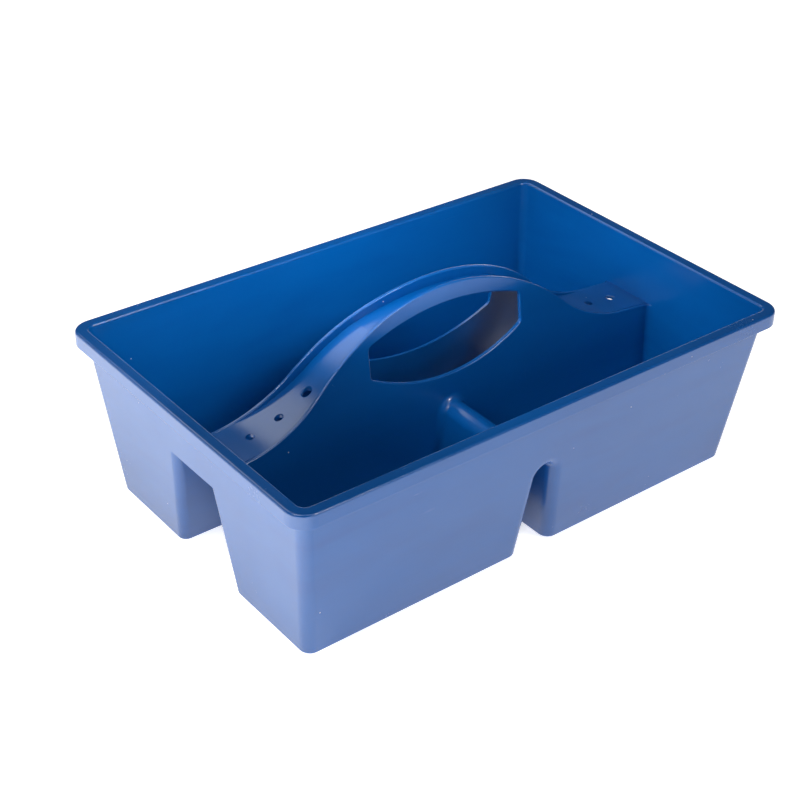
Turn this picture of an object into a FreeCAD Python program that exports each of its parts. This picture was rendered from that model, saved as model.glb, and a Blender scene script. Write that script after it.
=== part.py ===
import FreeCAD, Part
import Sketcher
import math
import os
import re

# Housekeeping caddy: one injection moulding with three bays, a hollow centre spine that
# rises into a carrying handle, and a hollow cross divider between the two front bays.
# +X runs along the long side, -Y is the front, +Z is up; the origin is the middle of
# the footprint, on the floor. Each member of the moulding is its own solid, and
# neighbouring members meet face to face.

doc = FreeCAD.newDocument("cleaning_caddy")

# ---------------------------------------------------------------- driving dimensions
DIMENSIONS = (
    ("base_length", 362.5, "length over the outer walls at the floor"),
    ("base_width", 221.1, "width over the outer walls at the floor"),
    ("end_draft", 0.0996, "outward lean of the end walls, mm per mm of height"),
    ("side_draft", 0.1226, "outward lean of the front and rear walls"),
    ("wall", 2.5, "moulding thickness"),
    ("corner_radius", 8.0, "outside radius of the upright corners"),
    ("base_radius", 2.0, "outside radius along the foot of each bay"),
    ("cove_radius", 3.2, "inside radius round each bay floor"),
    ("bay_height", 63.5, "height of the bay members, where the divider starts to round"),
    ("rim_length", 400.0, "length over the rim"),
    ("rim_width", 263.8, "width over the rim"),
    ("rim_underside", 113.1, "height of the rim skirt's lower edge"),
    ("rim_height", 123.8, "height of the rim's top face"),
    ("rim_radius", 14.0, "outside corner radius of the rim"),
    ("rim_edge_radius", 1.9, "rounding of the rim's top edges"),
    ("skirt_edge_radius", 0.8, "rounding of the skirt's lower edge"),
    ("spine_half_width", 31.0, "half width of the hollow spine's inside at the floor"),
    ("spine_draft", 0.147, "inward lean of the spine walls"),
    ("spine_flare", 6.2, "outside radius where the spine meets the end walls"),
    ("shoulder_height", 134.0, "height where the spine walls start to close in on the grip"),
    ("shoulder_radius", 60.0, "radius of the bend at that height"),
    ("handle_half_width", 9.3, "half width over the handle's two ribs at the top"),
    ("divider_half_width", 12.2, "half width of the hollow divider's inside at the floor"),
    ("divider_draft", 0.0945, "inward lean of the divider walls"),
    ("handle_height", 152.0, "overall height, at the middle of the handle"),
    ("crest_radius", 150.5, "radius of the handle's arched top"),
    ("valley_radius", 95.2, "radius where the handle sweeps down into the straps"),
    ("strap_slope", 0.1035, "fall of the strap towards the end walls"),
    ("strap_end_height", 82.2, "height of the strap's top at the end walls"),
    ("grip_top", 142.7, "height of the grip web's top at the middle"),
    ("grip_radius", 188.5, "radius of the grip web's top"),
    ("grip_half_length", 56.0, "half length of the grip web"),
    ("strap_crest_height", 146.1, "height that the strap's arc would reach at the middle"),
    ("strap_crest_radius", 142.5, "radius of the strap's upper arc"),
    ("strap_valley_radius", 103.0, "radius of the strap's lower arc"),
    ("rib_edge_radius", 0.8, "rounding of the ribs beside the straps"),
    ("hand_hole_half_length", 63.8, "half length of the hand hole"),
    ("hand_hole_bottom", 90.0, "height of the hand hole's lower edge"),
    ("hand_hole_bottom_radius", 127.0, "radius of the hand hole's lower edge"),
    ("hand_hole_corner_radius", 4.0, "corner radius of the hand hole"),
    ("hand_hole_edge_radius", 1.0, "rounding of the hand hole towards the bays"),
    ("strap_hole_diameter", 6.0, "diameter of the holes through the straps"),
    ("strap_hole_edge_radius", 1.0, "rounding of the strap holes' upper edges"),
    ("strap_hole_first", 102.0, "distance of the first strap hole from the middle"),
    ("strap_hole_pitch", 22.0, "distance from one strap hole to the next"),
    ("trim_margin", 60.0, "how far a cutting solid runs past what it cuts"),
)
STRAP_HOLES_PER_SIDE = 4

sheet = doc.addObject("Spreadsheet::Sheet", "dims")
for row, (alias, number, meaning) in enumerate(DIMENSIONS, start=1):
    sheet.set(f"A{row}", meaning)
    sheet.set(f"B{row}", str(number))
    sheet.setAlias(f"B{row}", alias)
doc.recompute()


ALIASES = {alias for alias, number, meaning in DIMENSIONS}


def expression(text):
    """Put the sheet's name before every alias that the text uses."""
    def qualified(word):
        return f"dims.{word[0]}" if word[0] in ALIASES else word[0]

    return re.sub("[a-z_]+", qualified, text)


def value(text):
    """The number that an expression over the sheet gives now."""
    return float(sheet.evalExpression(expression(text)))


# ------------------------------------------------------- faces of the drafted walls
def half_length(level):
    return f"( base_length / 2 + ( {level} ) * end_draft )"


def half_width(level):
    return f"( base_width / 2 + ( {level} ) * side_draft )"


def spine_half(level):
    return f"( spine_half_width - ( {level} ) * spine_draft )"


def divider_half(level):
    return f"( divider_half_width - ( {level} ) * divider_draft )"


MOUTH_TOP = "( strap_end_height - wall )"
INNER_RADIUS = "( corner_radius - wall )"
INNER_FLARE = "( spine_flare - wall )"
TOLERANCE = 0.01

# -------------------------------------------------------------------------- sketches
UPRIGHT = FreeCAD.Rotation(FreeCAD.Vector(1, 0, 0), 90)
CROSSWAYS = FreeCAD.Rotation(FreeCAD.Vector(1, 1, 1), 120)


def upright_sketch(name, turn=UPRIGHT):
    """An empty sketch on an upright plane through the middle, lengthways or crossways."""
    sketch = doc.addObject("Sketcher::SketchObject", name)
    sketch.Placement = FreeCAD.Placement(FreeCAD.Vector(), turn)
    return sketch


def pin(sketch, edge, end, x_text, y_text):
    """Dimension one end of an edge from the sketch's origin."""
    for kind, axis, text in (("DistanceX", -2, x_text), ("DistanceY", -1, y_text)):
        if abs(value(text)) < 1e-9:
            sketch.addConstraint(Sketcher.Constraint("PointOnObject", edge, end, axis))
            continue
        index = sketch.addConstraint(Sketcher.Constraint(kind, -1, 1, edge, end, value(text)))
        sketch.setExpression(f"Constraints[{index}]", expression(text))


def arc_between(start, end, centre, clockwise):
    """A circular arc from start to end about centre."""
    radius = (start - centre).Length
    first, last = (end, start) if clockwise else (start, end)
    angles = [math.atan2(p.y - centre.y, p.x - centre.x) for p in (first, last)]
    circle = Part.Circle(centre, FreeCAD.Vector(0, 0, 1), radius)
    return Part.ArcOfCircle(circle, angles[0], angles[1])


def outline(name, corners, turn=UPRIGHT):
    """A closed outline. Each corner is (x, y), or (x, y, radius, centre_x, centre_y,
    clockwise) when the edge that leaves it is an arc."""
    sketch = upright_sketch(name, turn)
    points = [FreeCAD.Vector(value(c[0]), value(c[1]), 0) for c in corners]
    ends = []
    for index, corner in enumerate(corners):
        start, end = points[index], points[(index + 1) % len(points)]
        if len(corner) == 2:
            edge = sketch.addGeometry(Part.LineSegment(start, end))
            ends.append((edge, 1, 2))
            continue
        centre = FreeCAD.Vector(value(corner[3]), value(corner[4]), 0)
        edge = sketch.addGeometry(arc_between(start, end, centre, corner[5]))
        ends.append((edge, 2, 1) if corner[5] else (edge, 1, 2))
        radius = sketch.addConstraint(Sketcher.Constraint("Radius", edge, value(corner[2])))
        sketch.setExpression(f"Constraints[{radius}]", expression(corner[2]))
    for index, (edge, first, last) in enumerate(ends):
        following, following_first = ends[(index + 1) % len(ends)][:2]
        joint = Sketcher.Constraint("Coincident", edge, last, following, following_first)
        sketch.addConstraint(joint)
        pin(sketch, edge, first, corners[index][0], corners[index][1])
    return sketch


# ------------------------------------------------------------------ solids and tools
ALONG_X = FreeCAD.Vector(1, 0, 0)
ALONG_Y = FreeCAD.Vector(0, 1, 0)
BEYOND = "( rim_length )"


def size_wedge(wedge, low, high, x_low, x_high, y_low, y_high):
    """Size a drafted block between two heights. Each side is a function of height. A
    wedge's own Y runs upwards here, and its own Z runs towards the front."""
    wedge.Placement = FreeCAD.Placement(FreeCAD.Vector(), UPRIGHT)
    sizes = {
        "Ymax": high, "Ymin": low,
        "Xmax": x_high(low), "Xmin": x_low(low), "X2max": x_high(high), "X2min": x_low(high),
        "Zmax": f"0 - {y_low(low)}", "Zmin": f"0 - {y_high(low)}",
        "Z2max": f"0 - {y_low(high)}", "Z2min": f"0 - {y_high(high)}",
    }
    for name, text in sizes.items():
        setattr(wedge, name, value(text))
        wedge.setExpression(name, expression(text))
    return wedge


def drafted_block(name, low, high, x_low, x_high, y_low, y_high):
    wedge = doc.addObject("Part::Wedge", name)
    return size_wedge(wedge, low, high, x_low, x_high, y_low, y_high)


def extrusion(name, sketch, direction, forward, backward):
    """A sketch carried along direction, and backward the other way."""
    solid = doc.addObject("Part::Extrusion", name)
    solid.Base = sketch
    solid.DirMode = "Custom"
    solid.Dir = direction
    solid.Solid = True
    solid.setExpression("LengthFwd", expression(forward))
    solid.setExpression("LengthRev", expression(backward))
    return solid


def cut(name, base, tool):
    result = doc.addObject("Part::Cut", name)
    result.Base = base
    result.Tool = tool
    return result


def common(name, base, tool):
    result = doc.addObject("Part::Common", name)
    result.Base = base
    result.Tool = tool
    return result


def fuse(name, shapes):
    result = doc.addObject("Part::MultiFuse", name)
    result.Shapes = shapes
    return result


def edges_where(shape, test):
    """Numbers of the edges that pass the test."""
    return [n for n, edge in enumerate(shape.Edges, start=1) if test(edge)]


def rounded(name, base, radius, test):
    """Round the edges of base that pass the test."""
    doc.recompute()
    fillet = doc.addObject("Part::Fillet", name)
    fillet.Base = base
    size = value(radius)
    fillet.Edges = [(n, size, size) for n in edges_where(base.Shape, test)]
    return fillet


def body_wedge(body, name, kind, low, high, x_low, x_high, y_low, y_high):
    wedge = body.newObject(f"PartDesign::{kind}", name)
    return size_wedge(wedge, low, high, x_low, x_high, y_low, y_high)


def body_fillet(body, name, base, radius, test):
    doc.recompute()
    fillet = body.newObject("PartDesign::Fillet", name)
    fillet.Base = (base, [f"Edge{n}" for n in edges_where(base.Shape, test)])
    fillet.setExpression("Radius", expression(radius))
    return fillet


def level_at(height_text):
    """Test for edges that lie wholly at one height."""
    height = value(height_text)

    def test(edge):
        box = edge.BoundBox
        return abs(box.ZMin - height) < TOLERANCE and abs(box.ZMax - height) < TOLERANCE

    return test


def rises_from(low_text, high_text):
    """Test for edges that run from one height up to another."""
    low, high = value(low_text), value(high_text)

    def test(edge):
        box = edge.BoundBox
        return abs(box.ZMin - low) < TOLERANCE and abs(box.ZMax - high) < TOLERANCE

    return test


# --------------------------------------------------------- faces worked out from faces
def constant(text):
    return lambda level: f"( {text} )"


def negative(face):
    return lambda level: f"( 0 - {face(level)} )"


def shifted(face, amount):
    """A face moved by a signed distance along its axis."""
    return lambda level: f"( {face(level)} + ( {amount} ) )"


# ------------------------------------------------------------------------------ bays
def at_spine_end(edge):
    """Test for upright edges where the spine meets an end wall."""
    box = edge.BoundBox
    margin = value("trim_margin")
    return abs(box.XMin) > margin and max(abs(box.YMin), abs(box.YMax)) < margin


def bay_corners(body, base, low, spine_radius, other_radius):
    """Round a bay's upright corners, beside the spine's ends and elsewhere."""
    upright = rises_from(low, "bay_height")
    by_spine = body_fillet(body, f"{base.Name}_spine_corners", base, spine_radius,
                           lambda edge: upright(edge) and at_spine_end(edge))
    return body_fillet(body, f"{base.Name}_corners", by_spine, other_radius,
                       lambda edge: upright(edge) and not at_spine_end(edge))


def bay(name, x_low, x_high, y_low, y_high):
    """One bay: a drafted tray with rounded corners, given by its outer faces."""
    body = doc.addObject("PartDesign::Body", name)
    outside = body_wedge(body, f"{name}_outside", "AdditiveWedge", "0", "bay_height",
                         x_low, x_high, y_low, y_high)
    corners = bay_corners(body, outside, "0", "spine_flare", "corner_radius")
    foot = body_fillet(body, f"{name}_foot", corners, "base_radius", level_at("0"))
    inside = body_wedge(body, f"{name}_inside", "SubtractiveWedge", "wall", "bay_height",
                        shifted(x_low, "wall"), shifted(x_high, "0 - wall"),
                        shifted(y_low, "wall"), shifted(y_high, "0 - wall"))
    inner_corners = bay_corners(body, inside, "wall", INNER_FLARE, INNER_RADIUS)
    doc.recompute()
    if not 0 < inside.Shape.Volume < foot.Shape.Volume / 2:
        raise RuntimeError(f"{name} is not hollow")
    body_fillet(body, f"{name}_cove", inner_corners, "cove_radius", level_at("wall"))
    return body


rear_bay = bay("rear_bay", negative(half_length), half_length, spine_half, half_width)
front_left_bay = bay("front_left_bay", negative(half_length), negative(divider_half),
                     negative(half_width), negative(spine_half))
front_right_bay = bay("front_right_bay", divider_half, half_length,
                      negative(half_width), negative(spine_half))

# ------------------------------------- hollow under the spine and under the divider
def slab(name, low, high, inner_face, axis):
    """Everything beyond a drafted face, out to well past the caddy. axis is +x, -x, +y
    or -y, the side that the face looks to."""
    far = constant(BEYOND)
    across = (negative(far), far)
    near_far = {
        "+": (inner_face, far),
        "-": (negative(far), negative(inner_face)),
    }[axis[0]]
    sides = near_far + across if axis[1] == "x" else across + near_far
    return drafted_block(name, low, high, *sides)


def spine_section(name, side, top):
    """Crossways section of the spine: leaning sides that bend in at the shoulder."""
    shoulder = side("shoulder_height")
    low_lean = "atan( spine_draft )"
    high_lean = f"atan( ( {shoulder} - {top} ) / ( handle_height - shoulder_height ) )"
    reach = f"( shoulder_radius * tan( ( {high_lean} - {low_lean} ) / 2 ) )"
    bend_foot = (f"( {shoulder} + {reach} * sin( {low_lean} ) )",
                 f"( shoulder_height - {reach} * cos( {low_lean} ) )")
    bend_top = (f"( {shoulder} - {reach} * sin( {high_lean} ) )",
                f"( shoulder_height + {reach} * cos( {high_lean} ) )")
    centre = (f"( {bend_foot[0]} - shoulder_radius * cos( {low_lean} ) )",
              f"( {bend_foot[1]} - shoulder_radius * sin( {low_lean} ) )")
    return outline(name, (
        (f"0 - {side('0')}", "0"),
        (side("0"), "0"),
        bend_foot + ("shoulder_radius",) + centre + (False,),
        bend_top,
        (top, "handle_height"),
        (f"0 - {top}", "handle_height"),
        (f"0 - {bend_top[0]}", bend_top[1], "shoulder_radius", f"0 - {centre[0]}", centre[1], False),
        (f"0 - {bend_foot[0]}", bend_foot[1]),
    ), CROSSWAYS)


def flared_spine(name, growth, end_face, flare):
    """The spine's section run lengthways, joined to the space beyond the end walls by
    flares. growth is how far its sides stand outside the hollow."""
    low, high = "0", "rim_underside"
    side = shifted(spine_half, growth)
    section = spine_section(f"{name}_section", side, f"( handle_half_width - wall + {growth} )")
    middle = extrusion(f"{name}_middle", section, ALONG_X, BEYOND, BEYOND)
    ends = [slab(f"{name}_{label}_end", low, high, end_face, axis)
            for label, axis in (("left", "-x"), ("right", "+x"))]
    joined = fuse(f"{name}_joined", [middle] + ends)
    upright = rises_from(low, high)
    reach = value(side(low)) + TOLERANCE

    def junction(edge):
        return upright(edge) and max(abs(edge.BoundBox.YMin), abs(edge.BoundBox.YMax)) < reach

    return rounded(name, joined, flare, junction)


inner_length = shifted(half_length, "0 - wall")
inner_width = shifted(half_width, "0 - wall")
spine_hollow = flared_spine("spine_hollow", "0", half_length, "spine_flare")
spine_outside = flared_spine("spine_outside", "wall", inner_length, INNER_FLARE)

DIVIDER_LEAN = "atan( divider_draft )"


def divider_section(name, growth):
    """Upright section of the divider: leaning sides and a round top."""
    side = shifted(divider_half, growth)
    half = side("bay_height")
    radius = f"( {half} / cos( {DIVIDER_LEAN} ) )"
    centre = f"( bay_height - {radius} * sin( {DIVIDER_LEAN} ) )"
    foot = "( bay_height - trim_margin )"
    corners = (
        (f"0 - {side(foot)}", foot),
        (side(foot), foot),
        (half, "bay_height", radius, "0", centre, False),
        (f"0 - {half}", "bay_height"),
    )
    return outline(name, corners)


def flared_divider(name, growth, front_face, spine_face, flare):
    """The divider's section run from the front wall to the spine, with flares there."""
    low, high = "( bay_height - trim_margin )", "rim_height"
    section = divider_section(f"{name}_section", growth)
    run = extrusion(f"{name}_run", section, ALONG_Y, "0", "base_width / 2 + trim_margin")
    front = slab(f"{name}_front", low, high, front_face, "-y")
    spine = drafted_block(f"{name}_spine", low, high, constant("0 - trim_margin"),
                          constant("trim_margin"), negative(spine_face), constant("trim_margin"))
    joined = fuse(f"{name}_joined", [run, front, spine])
    reach = value(half_width("rim_height"))

    def junction(edge):
        box = edge.BoundBox
        near_divider = max(abs(box.XMin), abs(box.XMax)) < value("trim_margin") / 2
        inside_caddy = box.YMin > -reach and box.YMax < -value(spine_half("rim_height"))
        across = box.YLength < value("trim_margin") / 2 and box.ZMin < value(high) - 1
        return near_divider and inside_caddy and across

    return rounded(name, joined, flare, junction)


divider_hollow = flared_divider("divider_hollow", "0", half_width, spine_half, "corner_radius")
divider_outside = flared_divider("divider_outside", "wall", inner_width,
                                 shifted(spine_half, "wall"), INNER_RADIUS)

# ------------------------------------------------------------------- upper side walls
wall_outside = drafted_block("wall_outside", "bay_height", "rim_underside",
                             negative(half_length), half_length,
                             negative(half_width), half_width)
wall_outside_rounded = rounded("wall_outside_rounded", wall_outside, "corner_radius",
                               rises_from("bay_height", "rim_underside"))
wall_inside = drafted_block("wall_inside", "bay_height", "rim_underside",
                            negative(inner_length), inner_length,
                            negative(inner_width), inner_width)
wall_inside_rounded = rounded("wall_inside_rounded", wall_inside, INNER_RADIUS,
                              rises_from("bay_height", "rim_underside"))
wall_ring = cut("wall_ring", wall_outside_rounded, wall_inside_rounded)
spine_flare_face = shifted(spine_half, "spine_flare")
end_mouths = drafted_block("end_mouths", "bay_height", MOUTH_TOP,
                           constant(f"0 - {BEYOND}"), constant(BEYOND),
                           negative(spine_flare_face), spine_flare_face)
wall_with_end_mouths = cut("wall_with_end_mouths", wall_ring, end_mouths)
upper_wall = cut("upper_wall", wall_with_end_mouths, divider_hollow)

# ------------------------------------------------------------------------------- rim
rim = doc.addObject("PartDesign::Body", "rim")
RIM_HALF_LENGTH = constant("( rim_length / 2 )")
RIM_HALF_WIDTH = constant("( rim_width / 2 )")
GROOVE_TOP = "( rim_height - wall )"


def rim_block(name, kind, low, high, length_face, width_face):
    """A drafted block in the rim's body, centred on the caddy."""
    return body_wedge(rim, name, kind, low, high, negative(length_face), length_face,
                      negative(width_face), width_face)


def rim_corners(base, low, high, length_face, radius):
    """Round the four upright corners that one block gave the rim."""
    upright = rises_from(low, high)
    end = value(length_face(high))

    def corner(edge):
        box = edge.BoundBox
        reach = max(abs(box.XMin), abs(box.XMax))
        return upright(edge) and abs(reach - end) < value("wall") / 2

    return body_fillet(rim, f"{base.Name}_corners", base, radius, corner)


SKIRT_LENGTH = shifted(RIM_HALF_LENGTH, "0 - wall")
SKIRT_WIDTH = shifted(RIM_HALF_WIDTH, "0 - wall")
rim_block("rim_flange", "AdditiveWedge", "rim_underside", "rim_height",
          RIM_HALF_LENGTH, RIM_HALF_WIDTH)
rim_groove = rim_block("rim_groove", "SubtractiveWedge", "rim_underside", GROOVE_TOP,
                       SKIRT_LENGTH, SKIRT_WIDTH)
rim_hollowed = rim_corners(rim_groove, "rim_underside", GROOVE_TOP, SKIRT_LENGTH,
                           "( rim_radius - wall )")
rim_corners(rim_hollowed, "rim_underside", "rim_height", RIM_HALF_LENGTH, "rim_radius")
rim_wall = rim_block("rim_wall", "AdditiveWedge", "rim_underside", GROOVE_TOP,
                     half_length, half_width)
rim_corners(rim_wall, "rim_underside", GROOVE_TOP, half_length, "corner_radius")
rim_opening = rim_block("rim_opening", "SubtractiveWedge", "rim_underside", "rim_height",
                        inner_length, inner_width)
rim_opened = rim_corners(rim_opening, "rim_underside", "rim_height", inner_length, INNER_RADIUS)
rim_top_edges = body_fillet(rim, "rim_top_edges", rim_opened, "rim_edge_radius",
                            level_at("rim_height"))


def skirt_foot(edge):
    box = edge.BoundBox
    outer = abs(box.XMax) > value("rim_length / 2 - wall / 2") or (
        abs(box.YMax) > value("rim_width / 2 - wall / 2"))
    return level_at("rim_underside")(edge) and outer


body_fillet(rim, "rim_skirt_foot", rim_top_edges, "skirt_edge_radius", skirt_foot)

# ------------------------------------------------------------- handle and its straps
STRAP_END = f"( {inner_length('strap_end_height')} )"


def arch_points(crest_height, crest_radius, valley_radius, sink):
    """Centres and tangent points of an arch: a crest arc, a valley arc tangent to it
    and a straight fall that reaches the end wall. sink lowers it square to itself."""
    slope = value("strap_slope")
    lean = math.atan(slope)
    along = FreeCAD.Vector(math.cos(lean), -math.sin(lean), 0)
    normal = FreeCAD.Vector(math.sin(lean), math.cos(lean), 0)
    crest = FreeCAD.Vector(0, value(crest_height) - value(crest_radius), 0)
    crest_size = value(crest_radius) - sink
    valley_size = value(valley_radius) + sink
    end = FreeCAD.Vector(value(STRAP_END), value("strap_end_height"), 0)
    start = end + normal * value(valley_radius)
    across = start - crest
    back = across.dot(along)
    spare = across.dot(across) - (crest_size + valley_size) ** 2
    valley = start + along * (math.sqrt(back * back - spare) - back)
    reach = (valley - crest).normalize()
    return {
        "crest_centre": crest, "crest_size": crest_size,
        "valley_centre": valley, "valley_size": valley_size,
        "crest_end": crest + reach * crest_size,
        "valley_end": valley - normal * valley_size,
        "fall_end": end - normal * sink,
        "slope": slope,
    }


def arch_region(name, crest_height, crest_radius, valley_radius, sink="0"):
    """Upright lengthways section of all that lies under an arch, down to the bays."""
    points = arch_points(crest_height, crest_radius, valley_radius, value(sink))
    sketch = upright_sketch(name)
    crest_size = f"{crest_radius} - {sink}"
    valley_size = f"{valley_radius} + {sink}"
    lean = "atan( strap_slope )"
    end_x = f"{STRAP_END} - {sink} * sin( {lean} )"
    end_z = f"strap_end_height - {sink} * cos( {lean} )"
    foot_x = f"( {inner_length('bay_height')} + {sink} )"
    foot_z = "bay_height"

    def flip(point):
        return FreeCAD.Vector(-point.x, point.y, 0)

    def side(sign):
        """Valley arc, straight fall and end line of one side; sign is 1 for +X."""
        place = (lambda point: point) if sign > 0 else flip
        valley = arc_between(place(points["crest_end"]), place(points["valley_end"]),
                             place(points["valley_centre"]), sign < 0)
        fall = Part.LineSegment(place(points["valley_end"]), place(points["fall_end"]))
        foot = place(FreeCAD.Vector(value(foot_x), value(foot_z), 0))
        drop = Part.LineSegment(place(points["fall_end"]), foot)
        return [sketch.addGeometry(edge) for edge in (valley, fall, drop)]

    crest = sketch.addGeometry(arc_between(points["crest_end"], flip(points["crest_end"]),
                                           points["crest_centre"], False))
    right = side(1)
    left = side(-1)
    foot_line = sketch.addGeometry(Part.LineSegment(
        FreeCAD.Vector(value(foot_x), value(foot_z), 0),
        FreeCAD.Vector(-value(foot_x), value(foot_z), 0)))

    def constrain(*arguments):
        return sketch.addConstraint(Sketcher.Constraint(*arguments))

    def bind(text, *arguments):
        index = constrain(*arguments, value(text))
        sketch.setExpression(f"Constraints[{index}]", expression(text))

    for (valley, fall, drop), valley_start, valley_stop, crest_tip in (
            (right, 1, 2, 1), (left, 2, 1, 2)):
        constrain("Tangent", crest, crest_tip, valley, valley_start)
        constrain("Tangent", valley, valley_stop, fall, 1)
        constrain("Coincident", fall, 2, drop, 1)
        bind(valley_size, "Radius", valley)
    bind(crest_size, "Radius", crest)
    constrain("PointOnObject", crest, 3, -2)
    bind(f"{crest_height} - {crest_radius}", "DistanceY", -1, 1, crest, 3)
    constrain("Coincident", right[2], 2, foot_line, 1)
    constrain("Coincident", left[2], 2, foot_line, 2)
    for fall, drop, mirror in ((right[1], right[2], ""), (left[1], left[2], "0 - ")):
        pin(sketch, fall, 2, f"{mirror}( {end_x} )", end_z)
        pin(sketch, drop, 2, f"{mirror}( {foot_x} )", foot_z)
    lean_index = constrain("Angle", right[1], -math.atan(points["slope"]))
    sketch.setExpression(f"Constraints[{lean_index}]", expression(f"-{lean}"))
    constrain("Equal", right[1], left[1])
    return sketch, points


def under_arch(name, arch, rear_reach, front_reach):
    """The solid under an arch, from the front reach to the rear reach."""
    return extrusion(name, arch, ALONG_Y, rear_reach, front_reach)


rib_arch, rib_points = arch_region("rib_arch", "handle_height", "crest_radius", "valley_radius")
strap_top_arch, strap_points = arch_region(
    "strap_top_arch", "strap_crest_height", "strap_crest_radius", "strap_valley_radius")
strap_under_arch = arch_region("strap_under_arch", "strap_crest_height", "strap_crest_radius",
                               "strap_valley_radius", "wall")[0]

# Hand hole, through both spine walls.
HOLE_TOP_CENTRE = "( grip_top - grip_radius )"
HOLE_TOP_RADIUS = "( grip_radius - wall )"
HOLE_BOTTOM_CENTRE = "( hand_hole_bottom + hand_hole_bottom_radius )"


def chord_height(radius, half_chord):
    """Height of an arc's ends from its centre."""
    return f"sqrt( {radius} * {radius} - {half_chord} * {half_chord} )"


hole_half = "hand_hole_half_length"
hole_high = f"( {HOLE_TOP_CENTRE} + {chord_height(HOLE_TOP_RADIUS, hole_half)} )"
hole_low = f"( {HOLE_BOTTOM_CENTRE} - {chord_height('hand_hole_bottom_radius', hole_half)} )"
hole_outline = outline("hand_hole_outline", (
    (f"0 - {hole_half}", hole_low, "hand_hole_bottom_radius", "0", HOLE_BOTTOM_CENTRE, False),
    (hole_half, hole_low),
    (hole_half, hole_high, HOLE_TOP_RADIUS, "0", HOLE_TOP_CENTRE, False),
    (f"0 - {hole_half}", hole_high),
))
hole_block = extrusion("hand_hole_block", hole_outline, ALONG_Y, "trim_margin", "trim_margin")


def runs_across(edge):
    return edge.BoundBox.YLength > value("trim_margin")


hand_hole = rounded("hand_hole", hole_block, "hand_hole_corner_radius", runs_across)

# Spine walls: the skin between the hollow and the bays, above the bays.
spine_skin = cut("spine_skin", spine_outside, spine_hollow)
flare_limit = drafted_block("flare_limit", "bay_height", "handle_height",
                            constant(f"0 - {BEYOND}"), constant(BEYOND),
                            negative(spine_flare_face), spine_flare_face)
spine_strips = common("spine_strips", spine_skin, flare_limit)
mouth_flares = drafted_block("mouth_flares", "bay_height", MOUTH_TOP,
                             negative(half_length), half_length,
                             constant("0 - trim_margin"), constant("trim_margin"))


def spine_wall(name, rear_reach, front_reach):
    """One wall of the spine, with its ribs' tops and its side of the hand hole."""
    under = under_arch(f"{name}_under", rib_arch, rear_reach, front_reach)
    region = fuse(f"{name}_region", [under, mouth_flares])
    half_space = drafted_block(f"{name}_half", "bay_height", "handle_height",
                               constant(f"0 - {BEYOND}"), constant(BEYOND),
                               constant(f"0 - ( {front_reach} )"), constant(rear_reach))
    strip = common(f"{name}_strip", common(f"{name}_side", spine_strips, half_space), region)
    return cut(f"{name}_pierced", strip, hand_hole)


rear_pierced = spine_wall("spine_rear_wall", "trim_margin", "0")
front_pierced = spine_wall("spine_front_wall", "0", "trim_margin")


def on_arch(points):
    """Test for edges that follow an arch: its crest, its valleys or its falls."""
    crest, valley = points["crest_centre"], points["valley_centre"]

    def test(edge):
        if edge.BoundBox.XLength < value("wall"):
            return False
        for vertex in edge.Vertexes:
            spot = FreeCAD.Vector(abs(vertex.X), vertex.Z, 0)
            on_crest = abs((spot - crest).Length - points["crest_size"]) < TOLERANCE
            on_valley = abs((spot - valley).Length - points["valley_size"]) < TOLERANCE
            fallen = abs(spot.y - value("strap_end_height")
                         - (value(STRAP_END) - spot.x) * points["slope"]) < TOLERANCE
            if not (on_crest or on_valley or fallen):
                return False
        return True

    return test


def hollow_half(height):
    """Half width of the spine's inside at a height."""
    shoulder, top = value("shoulder_height"), value("handle_height")
    at_shoulder, at_top = value(spine_half("shoulder_height")), value("handle_half_width - wall")
    if height < shoulder:
        return at_shoulder + (shoulder - height) * value("spine_draft")
    return at_shoulder + (at_top - at_shoulder) * (height - shoulder) / (top - shoulder)


def hole_rim_towards_bay(edge):
    """Test for the edges of the hand hole on the bays' side of a spine wall."""
    low, high = value("hand_hole_bottom") - TOLERANCE, value("grip_top")
    for vertex in edge.Vertexes:
        inside = abs(vertex.X) < value(hole_half) + TOLERANCE and low < vertex.Z < high
        if not inside or abs(vertex.Y) - hollow_half(vertex.Z) < value("wall") / 2:
            return False
    return True


def finish_spine_wall(name, pierced):
    softened = rounded(f"{name}_hole_edge", pierced, "hand_hole_edge_radius",
                       hole_rim_towards_bay)
    return rounded(name, softened, "rib_edge_radius", on_arch(rib_points))


spine_rear_wall = finish_spine_wall("spine_rear_wall", rear_pierced)
front_opened = cut("spine_front_wall_opened", front_pierced, divider_hollow)
spine_front_wall = finish_spine_wall("spine_front_wall", front_opened)

# ------------------------------------------------------------ grip web and two straps
grip_half = "grip_half_length"
GRIP_UNDER_RADIUS = "( grip_radius - wall )"
grip_edge_high = f"( {HOLE_TOP_CENTRE} + {chord_height('grip_radius', grip_half)} )"
grip_edge_low = f"( {HOLE_TOP_CENTRE} + {chord_height(GRIP_UNDER_RADIUS, grip_half)} )"
grip_outline = outline("grip_outline", (
    (grip_half, grip_edge_low),
    (grip_half, grip_edge_high, "grip_radius", "0", HOLE_TOP_CENTRE, False),
    (f"0 - {grip_half}", grip_edge_high),
    (f"0 - {grip_half}", grip_edge_low, GRIP_UNDER_RADIUS, "0", HOLE_TOP_CENTRE, True),
))
grip_band = extrusion("grip_band", grip_outline, ALONG_Y, "trim_margin", "trim_margin")
grip_web = common("grip_web", spine_hollow, grip_band)

strap_top = under_arch("strap_top", strap_top_arch, "trim_margin", "trim_margin")
strap_under = under_arch("strap_under", strap_under_arch, "trim_margin", "trim_margin")
strap_band = cut("strap_band", strap_top, strap_under)
straps_whole = common("straps_whole", spine_hollow, strap_band)


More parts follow.
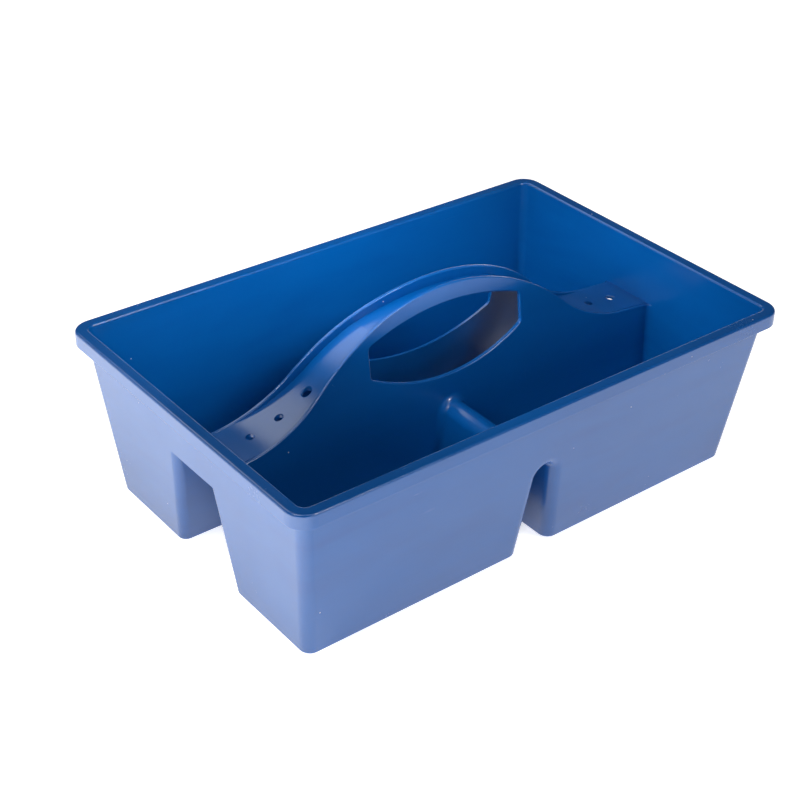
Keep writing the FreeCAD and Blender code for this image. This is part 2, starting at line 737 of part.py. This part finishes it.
def strap_holes(name, sign):
    """The row of upright drillings through one strap."""
    drills = []
    for index in range(STRAP_HOLES_PER_SIDE):
        drill = doc.addObject("Part::Cylinder", f"{name}_{index + 1}")
        drill.setExpression("Radius", expression("strap_hole_diameter / 2"))
        drill.setExpression("Height", expression("handle_height"))
        place = f"{sign} * ( strap_hole_first + {index} * strap_hole_pitch )"
        drill.setExpression("Placement.Base.x", expression(place))
        drills.append(drill)
    return fuse(name, drills)


on_strap_top = on_arch(strap_points)


def strap_hole_rim(edge):
    """Test for the upper edges of the strap holes."""
    reach = value("strap_hole_diameter / 2") + TOLERANCE
    return on_strap_top(edge) and -reach < edge.BoundBox.YMin and edge.BoundBox.YMax < reach


def strap(name, x_low, x_high, sign):
    """One strap, from the grip web down to its end wall."""
    reach = drafted_block(f"{name}_reach", "bay_height", "handle_height",
                          constant(x_low), constant(x_high),
                          constant("0 - trim_margin"), constant("trim_margin"))
    length = common(f"{name}_length", straps_whole, reach)
    drilled = cut(f"{name}_drilled", length, strap_holes(f"{name}_holes", sign))
    return rounded(name, drilled, "strap_hole_edge_radius", strap_hole_rim)


left_strap = strap("left_strap", f"0 - {BEYOND}", f"0 - {grip_half}", -1)
right_strap = strap("right_strap", grip_half, BEYOND, 1)

# ------------------------------------------------------------------------ divider cap
cap_reach = drafted_block("cap_reach", "bay_height", "rim_height",
                          constant("0 - trim_margin / 2"), constant("trim_margin / 2"),
                          negative(inner_width), negative(shifted(spine_half, "wall")))
cap_whole = common("cap_whole", divider_outside, cap_reach)
divider_cap = cut("divider_cap", cap_whole, divider_hollow)

# ----------------------------------------------------------------- checks and export
MEMBERS = (rear_bay, front_left_bay, front_right_bay, upper_wall, rim, spine_front_wall,
           spine_rear_wall, grip_web, left_strap, right_strap, divider_cap)

doc.recompute()
for item in doc.Objects:
    if "Invalid" in item.State or "Error" in item.State:
        raise RuntimeError(f"{item.Name} could not be built: {item.State}")
os.makedirs("parts", exist_ok=True)
for member in MEMBERS:
    member.Label = member.Name
    shape = member.Shape
    if shape.isNull() or not shape.isValid() or len(shape.Solids) != 1:
        raise RuntimeError(f"{member.Label} is not one sound solid")
    shape.exportStep(os.path.join("parts", f"{member.Label}.step"))
    print(member.Label, round(shape.Volume), "mm3")
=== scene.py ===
import math

import bpy
from mathutils import Matrix, Vector

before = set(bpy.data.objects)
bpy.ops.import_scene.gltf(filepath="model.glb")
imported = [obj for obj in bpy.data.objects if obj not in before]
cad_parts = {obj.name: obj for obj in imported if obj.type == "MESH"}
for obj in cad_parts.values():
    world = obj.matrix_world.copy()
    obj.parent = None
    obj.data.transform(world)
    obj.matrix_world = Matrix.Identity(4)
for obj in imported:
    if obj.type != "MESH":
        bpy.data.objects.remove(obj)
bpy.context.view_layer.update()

# Lengths are metres, colours are linear RGBA, lamp powers are watts, and a texture's
# scale is in cells per metre.
WHITE = (1, 1, 1, 1)


# ------------------------------------------------------------------ material helpers
# A Mix node has sockets for every kind of data. These are the ones for colour.
MIX_SHARE, MIX_FIRST, MIX_SECOND, MIX_RESULT = 0, 6, 7, 2


class Graph:
    """A material's node tree, with short ways to add and link nodes."""

    def __init__(self, name):
        self.material = bpy.data.materials.new(name)
        self.material.use_nodes = True
        self.tree = self.material.node_tree
        self.shader = self.tree.nodes["Principled BSDF"]

    def put(self, socket, source):
        """Give an input socket a number or colour, or link it to a node's output."""
        if isinstance(source, bpy.types.NodeSocket):
            self.tree.links.new(source, socket)
        else:
            socket.default_value = source

    def shade(self, name, source):
        """Set one input of the shader."""
        self.put(self.shader.inputs[name], source)

    def node(self, kind, inputs=(), output=0, **settings):
        """Add a node and return one of its outputs."""
        node = self.tree.nodes.new(kind)
        for key, setting in settings.items():
            setattr(node, key, setting)
        for key, source in dict(inputs).items():
            self.put(node.inputs[key], source)
        return node.outputs[output]

    def place(self, scale=(1, 1, 1), turn=(0, 0, 0)):
        """Position on the object, stretched and turned (radians)."""
        where = self.node("ShaderNodeTexCoord", output="Object")
        return self.node("ShaderNodeMapping", {
            "Vector": where, "Scale": scale, "Rotation": turn})

    def noise(self, where, scale, detail=3.0, distortion=0.0):
        return self.node("ShaderNodeTexNoise", {
            "Vector": where, "Scale": scale, "Detail": detail,
            "Distortion": distortion})

    def math(self, operation, first, second=0.0):
        return self.node("ShaderNodeMath", {0: first, 1: second},
                         operation=operation)

    def spread(self, source, from_low, from_high, to_low=0.0, to_high=1.0):
        """Carry one range of values over to another, clamped at its ends."""
        return self.node("ShaderNodeMapRange", {
            "Value": source, "From Min": from_low, "From Max": from_high,
            "To Min": to_low, "To Max": to_high})

    def blend(self, share, first, second):
        """Mix two colours, with the given share of the second."""
        return self.node("ShaderNodeMix", {
            MIX_SHARE: share, MIX_FIRST: first, MIX_SECOND: second},
            output=MIX_RESULT, data_type="RGBA")

    def bump(self, height, strength, distance, below=None):
        """Raise a height map over the normal of the layer below it."""
        inputs = {"Height": height, "Strength": strength, "Distance": distance}
        if below is not None:
            inputs["Normal"] = below
        return self.node("ShaderNodeBump", inputs)


# --------------------------------------------------------------------------- plastic
PLASTIC_BLUE = (0.0006, 0.088, 0.335, 1)
PLASTIC_DEEP = (0.0004, 0.066, 0.272, 1)
PLASTIC_SCUFFED = (0.16, 0.25, 0.46, 1)
DUST = (0.62, 0.66, 0.72, 1)
PLASTIC_IOR = 1.5
PLASTIC_SPECULAR = 0.9

# Texture scales. The flow and the hairs get the rest of theirs from their stretch.
CLOUD_SCALE = 9.0
FLOW_SCALE = 3.0
RUBBED_SCALE = 14.0
HAIR_SCALE = 1.0
SPECK_SCALE = 95.0
SPECK_FIELD_SCALE = 60.0
SKIN_SCALE = 520.0
GLOSS_SCALE = 22.0
WAVE_SCALE = 16.0

# The melt's flow lines lie level, so their texture is squeezed in height.
FLOW_STRETCH = (3.0, 3.0, 14.0)
# Three sets of hair scratches cross one another: each one's turn and its stretch,
# which is far finer across the hairs than along them.
HAIR_SETS = (((0.3, 0.2, 0.5), (620, 26, 26)),
             ((0.9, 1.2, 0.1), (26, 700, 26)),
             ((1.7, 0.4, 1.1), (24, 24, 660)))

# The stretch of each texture's values that carries it from none to full.
CLOUD_RANGE = (0.30, 0.72)
FLOW_RANGE = (0.25, 0.75)
MID_RANGE = (0.3, 0.7)
RUBBED_EDGE = (0.56, 0.74)
HAIR_EDGE = (0.75, 0.81)
SPECK_EDGE = (0.035, 0.05)
SPECK_FIELD_EDGE = (0.66, 0.70)

HAIR_SHARE_OFF_PATCHES = 0.12
ROUGHNESS = (0.18, 0.27)
ROUGHER_BY_SCUFFS = 0.10
ROUGHER_BY_SKIN = 0.01
ROUGHER_BY_SPECKS = 0.4
PALER_BY_SCUFFS = 0.15
PALER_BY_SPECKS = 0.8

# Each layer of relief: bump strength and distance.
WAVES_RELIEF = (0.18, 0.004)
SKIN_RELIEF = (0.03, 0.00015)
CUTS_RELIEF = (0.08, -0.00006)
SPECKS_RELIEF = (0.5, 0.0002)


def moulding_colour(g, where):
    """Two blues in soft clouds and level flow lines."""
    clouds = g.noise(where, CLOUD_SCALE, detail=4.0, distortion=0.6)
    flow = g.noise(g.place(scale=FLOW_STRETCH), FLOW_SCALE, distortion=0.8)
    tint = g.math("MULTIPLY",
                  g.spread(clouds, *CLOUD_RANGE), g.spread(flow, *FLOW_RANGE))
    return g.blend(tint, PLASTIC_BLUE, PLASTIC_DEEP)


def hair_scratches(g, where):
    """Hair scratches, strong in rubbed patches and faint elsewhere."""
    first, second, third = (
        g.spread(g.noise(g.place(scale=stretch, turn=turn), HAIR_SCALE, detail=1.0),
                 *HAIR_EDGE)
        for turn, stretch in HAIR_SETS)
    hairs = g.math("MAXIMUM", g.math("MAXIMUM", first, second), third)
    rubbed = g.noise(where, RUBBED_SCALE, detail=5.0)
    strength = g.spread(rubbed, *RUBBED_EDGE, HAIR_SHARE_OFF_PATCHES, 1.0)
    return g.math("MULTIPLY", hairs, strength)


def dust_specks(g, where):
    """Small round specks, kept in only a few of a texture's cells."""
    cells = g.node("ShaderNodeTexVoronoi", {"Vector": where, "Scale": SPECK_SCALE},
                   output="Distance")
    dots = g.spread(cells, *SPECK_EDGE, 1.0, 0.0)
    field = g.noise(where, SPECK_FIELD_SCALE, detail=0.0)
    return g.math("MULTIPLY", dots, g.spread(field, *SPECK_FIELD_EDGE))


def blue_polypropylene():
    """Royal blue moulded polypropylene: flow clouds, a fine skin, hair scratches,
    rubbed patches and a few specks of dust."""
    g = Graph("blue_polypropylene")
    where = g.place()
    colour = moulding_colour(g, where)
    scuffs = hair_scratches(g, where)
    specks = dust_specks(g, where)
    skin = g.noise(where, SKIN_SCALE, detail=2.0)

    colour = g.blend(g.math("MULTIPLY", scuffs, PALER_BY_SCUFFS),
                     colour, PLASTIC_SCUFFED)
    colour = g.blend(g.math("MULTIPLY", specks, PALER_BY_SPECKS), colour, DUST)
    g.shade("Base Color", colour)

    gloss = g.noise(where, GLOSS_SCALE, detail=4.0)
    rough = g.spread(gloss, *MID_RANGE, *ROUGHNESS)
    rough = g.math("ADD", rough, g.math("MULTIPLY", scuffs, ROUGHER_BY_SCUFFS))
    rough = g.math("ADD", rough,
                   g.spread(skin, *MID_RANGE, -ROUGHER_BY_SKIN, ROUGHER_BY_SKIN))
    rough = g.math("ADD", rough, g.math("MULTIPLY", specks, ROUGHER_BY_SPECKS))
    g.shade("Roughness", rough)
    g.shade("IOR", PLASTIC_IOR)
    g.shade("Specular IOR Level", PLASTIC_SPECULAR)

    waves = g.noise(where, WAVE_SCALE, detail=2.0)
    relief = g.bump(waves, *WAVES_RELIEF)
    relief = g.bump(skin, *SKIN_RELIEF, below=relief)
    relief = g.bump(scuffs, *CUTS_RELIEF, below=relief)
    g.shade("Normal", g.bump(specks, *SPECKS_RELIEF, below=relief))
    return g.material


plastic = blue_polypropylene()
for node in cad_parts.values():
    node.data.materials.clear()
    node.data.materials.append(plastic)


# ------------------------------------------------------------------------------ floor
PAPER_TONES = (0.88, 0.88, 0.88, 1), (0.92, 0.92, 0.92, 1)
PAPER_ROUGHNESS = 0.95
PAPER_SPECULAR = 0.1
FIBRE_SCALE = 240.0

# Half the width and depth of the painted shadow under the tray, and its soft edge.
SHADE_HALF_X, SHADE_HALF_Y = 0.145, 0.085
SHADE_EDGE = (-0.03, 0.01)
# The painted glow of light to the left of the tray and to its right, and the x range
# between them.
GLOW_LEFT, GLOW_RIGHT = 2.2, 0.80
GLOW_TURNS = (-0.35, -0.15)
# The painted light added where the lamps no longer reach, and the range over which it
# comes in.
FAR_GLOW = 0.3
FAR_STARTS = (0.4, 1.2)

FLOOR_REACH = 12.0
FLOOR_LEVEL = -0.0003  # just below the feet, so that no two faces share a plane


def paper():
    """White paper on a light table, lit by painted light: it glows, most on the left,
    and has a painted shadow under the tray so that the open hollows stay dark."""
    g = Graph("white_paper")
    fibres = g.noise(g.place(), FIBRE_SCALE)
    g.shade("Base Color", g.blend(g.spread(fibres, *MID_RANGE), *PAPER_TONES))
    g.shade("Roughness", PAPER_ROUGHNESS)
    g.shade("Specular IOR Level", PAPER_SPECULAR)

    x, y = (g.node("ShaderNodeSeparateXYZ", {"Vector": g.place()}, output=axis)
            for axis in ("X", "Y"))
    outside = g.math(
        "MAXIMUM",
        g.math("SUBTRACT", g.math("ABSOLUTE", x), SHADE_HALF_X),
        g.math("SUBTRACT", g.math("ABSOLUTE", y), SHADE_HALF_Y))
    glow = g.spread(x, *GLOW_TURNS, GLOW_LEFT, GLOW_RIGHT)
    near = g.math("MULTIPLY", glow, g.spread(outside, *SHADE_EDGE))
    far = g.spread(outside, *FAR_STARTS, 0.0, FAR_GLOW)
    # The emission is painted light: a glow that is brighter on the left, a painted
    # shadow under the tray, and fill light where the lamps no longer reach.
    g.shade("Emission Color", WHITE)
    g.shade("Emission Strength", g.math("ADD", near, far))
    return g.material


def floor():
    mesh = bpy.data.meshes.new("floor")
    corners = [(x * FLOOR_REACH, y * FLOOR_REACH, FLOOR_LEVEL)
               for x, y in ((-1, -1), (1, -1), (1, 1), (-1, 1))]
    mesh.from_pydata(corners, [], [(0, 1, 2, 3)])
    mesh.materials.append(paper())
    sheet = bpy.data.objects.new("floor", mesh)
    bpy.context.scene.collection.objects.link(sheet)


floor()

# ----------------------------------------------------------------------------- camera
# Solved from where the rim's corners, the bays' feet and the notches lie in the photo.
AZIMUTH, ELEVATION, ROLL = (math.radians(angle) for angle in (-39.56, 32.65, 1.75))
TARGET = Vector((0, 0, 0.060))
DISTANCE = 1.1168
SENSOR_MM = 36.0
LENS_MM = 73.23
SHIFT = (-0.0377, -0.0022)


def camera():
    data = bpy.data.cameras.new("camera")
    data.sensor_width, data.lens = SENSOR_MM, LENS_MM
    data.shift_x, data.shift_y = SHIFT
    back = Vector((math.sin(AZIMUTH) * math.cos(ELEVATION),
                   -math.cos(AZIMUTH) * math.cos(ELEVATION),
                   math.sin(ELEVATION)))
    right = Vector((math.cos(AZIMUTH), math.sin(AZIMUTH), 0))
    up = back.cross(right)
    rolled_right = right * math.cos(ROLL) + up * math.sin(ROLL)
    rolled_up = up * math.cos(ROLL) - right * math.sin(ROLL)
    turn = Matrix((rolled_right, rolled_up, back)).transposed().to_4x4()
    eye = bpy.data.objects.new("camera", data)
    eye.matrix_world = Matrix.Translation(TARGET + back * DISTANCE) @ turn
    bpy.context.scene.collection.objects.link(eye)
    bpy.context.scene.camera = eye


camera()

# ----------------------------------------------------------------------------- lights
CENTRE = (0, 0, 0.06)
OPEN = 180  # the spread of a lamp with no grid over it, in degrees

# Each lamp: name, place, what it faces, width and height, power, spread, and whether
# the plastic mirrors it. The two washes hang over the tray and colour its inner walls.
LAMPS = (
    ("overhead", (-0.20, 1.15, 1.40), CENTRE, (1.0, 0.6), 3.5, OPEN, True),
    ("top", (-0.05, -0.5, 1.5), CENTRE, (0.4, 0.4), 1.5, OPEN, True),
    ("left_high", (-1.05, 0.0, 1.35), CENTRE, (0.22, 0.22), 4.3, OPEN, True),
    ("front_high", (0.45, -1.1, 1.35), CENTRE, (0.22, 0.22), 5.5, OPEN, True),
    ("front_low", (0.2, -1.8, 0.80), CENTRE, (1.4, 0.6), 6, OPEN, True),
    ("left_floor", (-0.80, -0.10, 1.3), (-0.7, -0.1, 0), (0.6, 0.7), 0.8, 45, True),
    ("rear_left", (-1.4, 1.2, 0.7), CENTRE, (1.4, 0.7), 3, OPEN, True),
    ("horizon", (1.5, 1.9, 0.25), CENTRE, (3.0, 0.4), 7, OPEN, True),
    ("rear_wash", (-0.04, -0.13, 0.28), (-0.04, 0.125, 0.12), (0.32, 0.04), 0.12,
     44, False),
    ("right_wash", (-0.19, 0.0, 0.23), (0.19, 0.0, 0.10), (0.22, 0.08), 0.20,
     64, False),
)

# The surround's brightness where the camera sees it past the object, and the much
# lower one that lights the plastic and is mirrored in it.
SURROUND_SEEN = 1.0
SURROUND_FELT = 0.04


def softbox(name, place, aim, size, power, spread, mirrored):
    data = bpy.data.lights.new(name, "AREA")
    data.shape = "RECTANGLE"
    data.size, data.size_y = size
    data.energy = power
    data.spread = math.radians(spread)
    box = bpy.data.objects.new(name, data)
    box.location = place
    box.rotation_mode = "QUATERNION"
    box.rotation_quaternion = (Vector(place) - Vector(aim)).to_track_quat("Z", "Y")
    box.visible_camera = False
    box.visible_glossy = mirrored
    bpy.context.scene.collection.objects.link(box)


def studio():
    """A plain white surround that is seen at one brightness and lights at another."""
    world = bpy.data.worlds.new("studio")
    world.use_nodes = True
    tree = world.node_tree
    felt = tree.nodes["Background"]
    seen = tree.nodes.new("ShaderNodeBackground")
    for background, strength in ((felt, SURROUND_FELT), (seen, SURROUND_SEEN)):
        background.inputs["Color"].default_value = WHITE
        background.inputs["Strength"].default_value = strength
    path = tree.nodes.new("ShaderNodeLightPath")
    mix = tree.nodes.new("ShaderNodeMixShader")
    tree.links.new(path.outputs["Is Camera Ray"], mix.inputs["Fac"])
    tree.links.new(felt.outputs["Background"], mix.inputs[1])
    tree.links.new(seen.outputs["Background"], mix.inputs[2])
    tree.links.new(mix.outputs["Shader"], tree.nodes["World Output"].inputs["Surface"])
    bpy.context.scene.world = world


for lamp in LAMPS:
    softbox(*lamp)
studio()
bpy.context.scene.view_settings.view_transform = "Standard"
